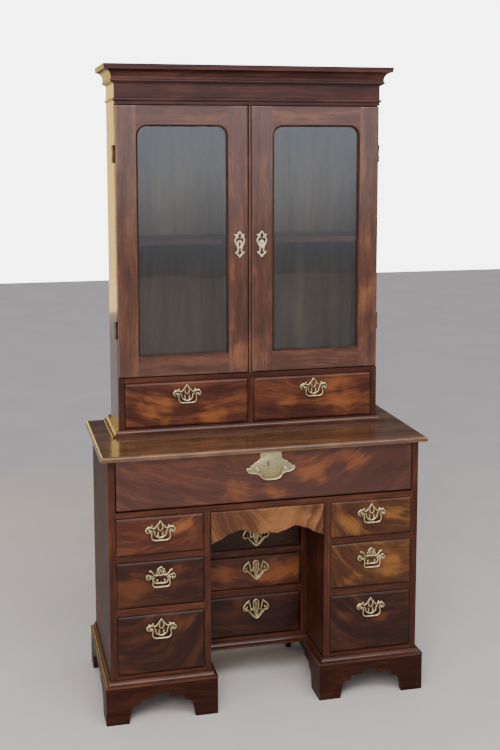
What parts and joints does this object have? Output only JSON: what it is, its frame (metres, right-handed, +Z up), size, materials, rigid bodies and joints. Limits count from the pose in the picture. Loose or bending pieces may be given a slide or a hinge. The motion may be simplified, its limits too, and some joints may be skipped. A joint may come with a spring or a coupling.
{
  "type": "kneehole secretaire bookcase",
  "caption": "Tall mahogany writing desk with a kneehole, drawers, a fall-front writing drawer and a glazed bookcase above with two doors.",
  "frame": {"origin": "on the floor, under the middle of the whole piece's width and depth", "axes": "X to the right across the width, the front faces -Y, +Z up"},
  "size_m": [1.108, 0.504, 2.15],
  "materials": {
    "mahogany": "polished",
    "dark_mahogany": "polished",
    "inner_wood": "unpolished",
    "brass": "polished",
    "glass": "clear"
  },
  "bodies": {
    "case": {"lower_sides": "mahogany", "kneehole_partitions": "mahogany", "dustboards": "inner_wood", "back_boards": "inner_wood", "desk_top": "mahogany", "base_frame": "dark_mahogany", "bracket_feet": "dark_mahogany", "waist_moulding": "mahogany", "bookcase_sides": "mahogany", "face_frame": "mahogany", "bookcase_boards": "inner_wood", "cornice": "dark_mahogany", "case_hinges": "brass"},
    "left_door_body": {"left_door": "mahogany", "left_glass": "glass", "left_door_brass": "brass"},
    "right_door_body": {"right_door": "mahogany", "right_glass": "glass", "right_door_brass": "brass"},
    "secretaire_drawer": {"secretaire_box": "inner_wood", "pigeonholes": "inner_wood"},
    "fall": {"fall_front": "mahogany", "fall_brass": "brass"},
    "fall_handle": {"fall_bail": "brass"},
    "nest_left": {"nest_left_drawer": "inner_wood"},
    "nest_right": {"nest_right_drawer": "inner_wood"},
    "apron": {"apron_drawer": "mahogany"},
    "left_1": {"left_drawer_1": "mahogany", "left_pull_1": "brass"},
    "left_handle_1": {"left_bail_1": "brass"},
    "right_1": {"right_drawer_1": "mahogany", "right_pull_1": "brass"},
    "right_handle_1": {"right_bail_1": "brass"},
    "left_2": {"left_drawer_2": "mahogany", "left_pull_2": "brass"},
    "left_handle_2": {"left_bail_2": "brass"},
    "right_2": {"right_drawer_2": "mahogany", "right_pull_2": "brass"},
    "right_handle_2": {"right_bail_2": "brass"},
    "left_3": {"left_drawer_3": "mahogany", "left_pull_3": "brass"},
    "left_handle_3": {"left_bail_3": "brass"},
    "right_3": {"right_drawer_3": "mahogany", "right_pull_3": "brass"},
    "right_handle_3": {"right_bail_3": "brass"},
    "recess_1": {"recess_drawer_1": "mahogany", "recess_pull_1": "brass"},
    "recess_handle_1": {"recess_bail_1": "brass"},
    "recess_2": {"recess_drawer_2": "mahogany", "recess_pull_2": "brass"},
    "recess_handle_2": {"recess_bail_2": "brass"},
    "recess_3": {"recess_drawer_3": "mahogany", "recess_pull_3": "brass"},
    "recess_handle_3": {"recess_bail_3": "brass"},
    "upper_left": {"upper_left_drawer": "mahogany", "upper_left_pull": "brass"},
    "upper_left_handle": {"upper_left_bail": "brass"},
    "upper_right": {"upper_right_drawer": "mahogany", "upper_right_pull": "brass"},
    "upper_right_handle": {"upper_right_bail": "brass"}
  },
  "joints": [
    {"name": "left_door_hinge", "type": "hinge", "parent": "case", "child": "left_door_body", "pos_m": [-0.4665, 0.032, 1.5595], "axis": [0, 0, -1], "range_deg": [0, 160]},
    {"name": "right_door_hinge", "type": "hinge", "parent": "case", "child": "right_door_body", "pos_m": [0.4665, 0.032, 1.5595], "axis": [0, 0, 1], "range_deg": [0, 160]},
    {"name": "secretaire_slide", "type": "slide", "parent": "case", "child": "secretaire_drawer", "axis": [0, -1, 0], "range_m": [0, 0.28]},
    {"name": "fall_hinge", "type": "hinge", "parent": "secretaire_drawer", "child": "fall", "pos_m": [0, -0.2205, 0.7255], "axis": [1, 0, 0], "range_deg": [0, 90]},
    {"name": "nest_left_slide", "type": "slide", "parent": "secretaire_drawer", "child": "nest_left", "axis": [0, -1, 0], "range_m": [0, 0.15]},
    {"name": "nest_right_slide", "type": "slide", "parent": "secretaire_drawer", "child": "nest_right", "axis": [0, -1, 0], "range_m": [0, 0.15]},
    {"name": "apron_slide", "type": "slide", "parent": "case", "child": "apron", "axis": [0, -1, 0], "range_m": [0, 0.14]},
    {"name": "fall_bail_swing", "type": "hinge", "parent": "fall", "child": "fall_handle", "pos_m": [0.008, -0.243, 0.826], "axis": [-1, 0, 0], "range_deg": [0, 95]},
    {"name": "left_slide_1", "type": "slide", "parent": "case", "child": "left_1", "axis": [0, -1, 0], "range_m": [0, 0.36]},
    {"name": "left_bail_1_swing", "type": "hinge", "parent": "left_1", "child": "left_handle_1", "pos_m": [-0.3625, -0.243, 0.646], "axis": [-1, 0, 0], "range_deg": [0, 95]},
    {"name": "right_slide_1", "type": "slide", "parent": "case", "child": "right_1", "axis": [0, -1, 0], "range_m": [0, 0.36]},
    {"name": "right_bail_1_swing", "type": "hinge", "parent": "right_1", "child": "right_handle_1", "pos_m": [0.3625, -0.243, 0.646], "axis": [-1, 0, 0], "range_deg": [0, 95]},
    {"name": "left_slide_2", "type": "slide", "parent": "case", "child": "left_2", "axis": [0, -1, 0], "range_m": [0, 0.36]},
    {"name": "left_bail_2_swing", "type": "hinge", "parent": "left_2", "child": "left_handle_2", "pos_m": [-0.3625, -0.243, 0.489], "axis": [-1, 0, 0], "range_deg": [0, 95]},
    {"name": "right_slide_2", "type": "slide", "parent": "case", "child": "right_2", "axis": [0, -1, 0], "range_m": [0, 0.36]},
    {"name": "right_bail_2_swing", "type": "hinge", "parent": "right_2", "child": "right_handle_2", "pos_m": [0.3625, -0.243, 0.489], "axis": [-1, 0, 0], "range_deg": [0, 95]},
    {"name": "left_slide_3", "type": "slide", "parent": "case", "child": "left_3", "axis": [0, -1, 0], "range_m": [0, 0.36]},
    {"name": "left_bail_3_swing", "type": "hinge", "parent": "left_3", "child": "left_handle_3", "pos_m": [-0.3625, -0.243, 0.314], "axis": [-1, 0, 0], "range_deg": [0, 95]},
    {"name": "right_slide_3", "type": "slide", "parent": "case", "child": "right_3", "axis": [0, -1, 0], "range_m": [0, 0.36]},
    {"name": "right_bail_3_swing", "type": "hinge", "parent": "right_3", "child": "right_handle_3", "pos_m": [0.3625, -0.243, 0.314], "axis": [-1, 0, 0], "range_deg": [0, 95]},
    {"name": "recess_slide_1", "type": "slide", "parent": "case", "child": "recess_1", "axis": [0, -1, 0], "range_m": [0, 0.19]},
    {"name": "recess_bail_1_swing", "type": "hinge", "parent": "recess_1", "child": "recess_handle_1", "pos_m": [0.006, -0.044, 0.525], "axis": [-1, 0, 0], "range_deg": [0, 95]},
    {"name": "recess_slide_2", "type": "slide", "parent": "case", "child": "recess_2", "axis": [0, -1, 0], "range_m": [0, 0.19]},
    {"name": "recess_bail_2_swing", "type": "hinge", "parent": "recess_2", "child": "recess_handle_2", "pos_m": [0.006, -0.044, 0.403], "axis": [-1, 0, 0], "range_deg": [0, 95]},
    {"name": "recess_slide_3", "type": "slide", "parent": "case", "child": "recess_3", "axis": [0, -1, 0], "range_m": [0, 0.19]},
    {"name": "recess_bail_3_swing", "type": "hinge", "parent": "recess_3", "child": "recess_handle_3", "pos_m": [0.006, -0.044, 0.259], "axis": [-1, 0, 0], "range_deg": [0, 95]},
    {"name": "upper_left_slide", "type": "slide", "parent": "case", "child": "upper_left", "axis": [0, -1, 0], "range_m": [0, 0.17]},
    {"name": "upper_left_bail_swing", "type": "hinge", "parent": "upper_left", "child": "upper_left_handle", "pos_m": [-0.22675, -0.003, 1.039], "axis": [-1, 0, 0], "range_deg": [0, 95]},
    {"name": "upper_right_slide", "type": "slide", "parent": "case", "child": "upper_right", "axis": [0, -1, 0], "range_m": [0, 0.17]},
    {"name": "upper_right_bail_swing", "type": "hinge", "parent": "upper_right", "child": "upper_right_handle", "pos_m": [0.22675, -0.003, 1.039], "axis": [-1, 0, 0], "range_deg": [0, 95]}
  ]
}
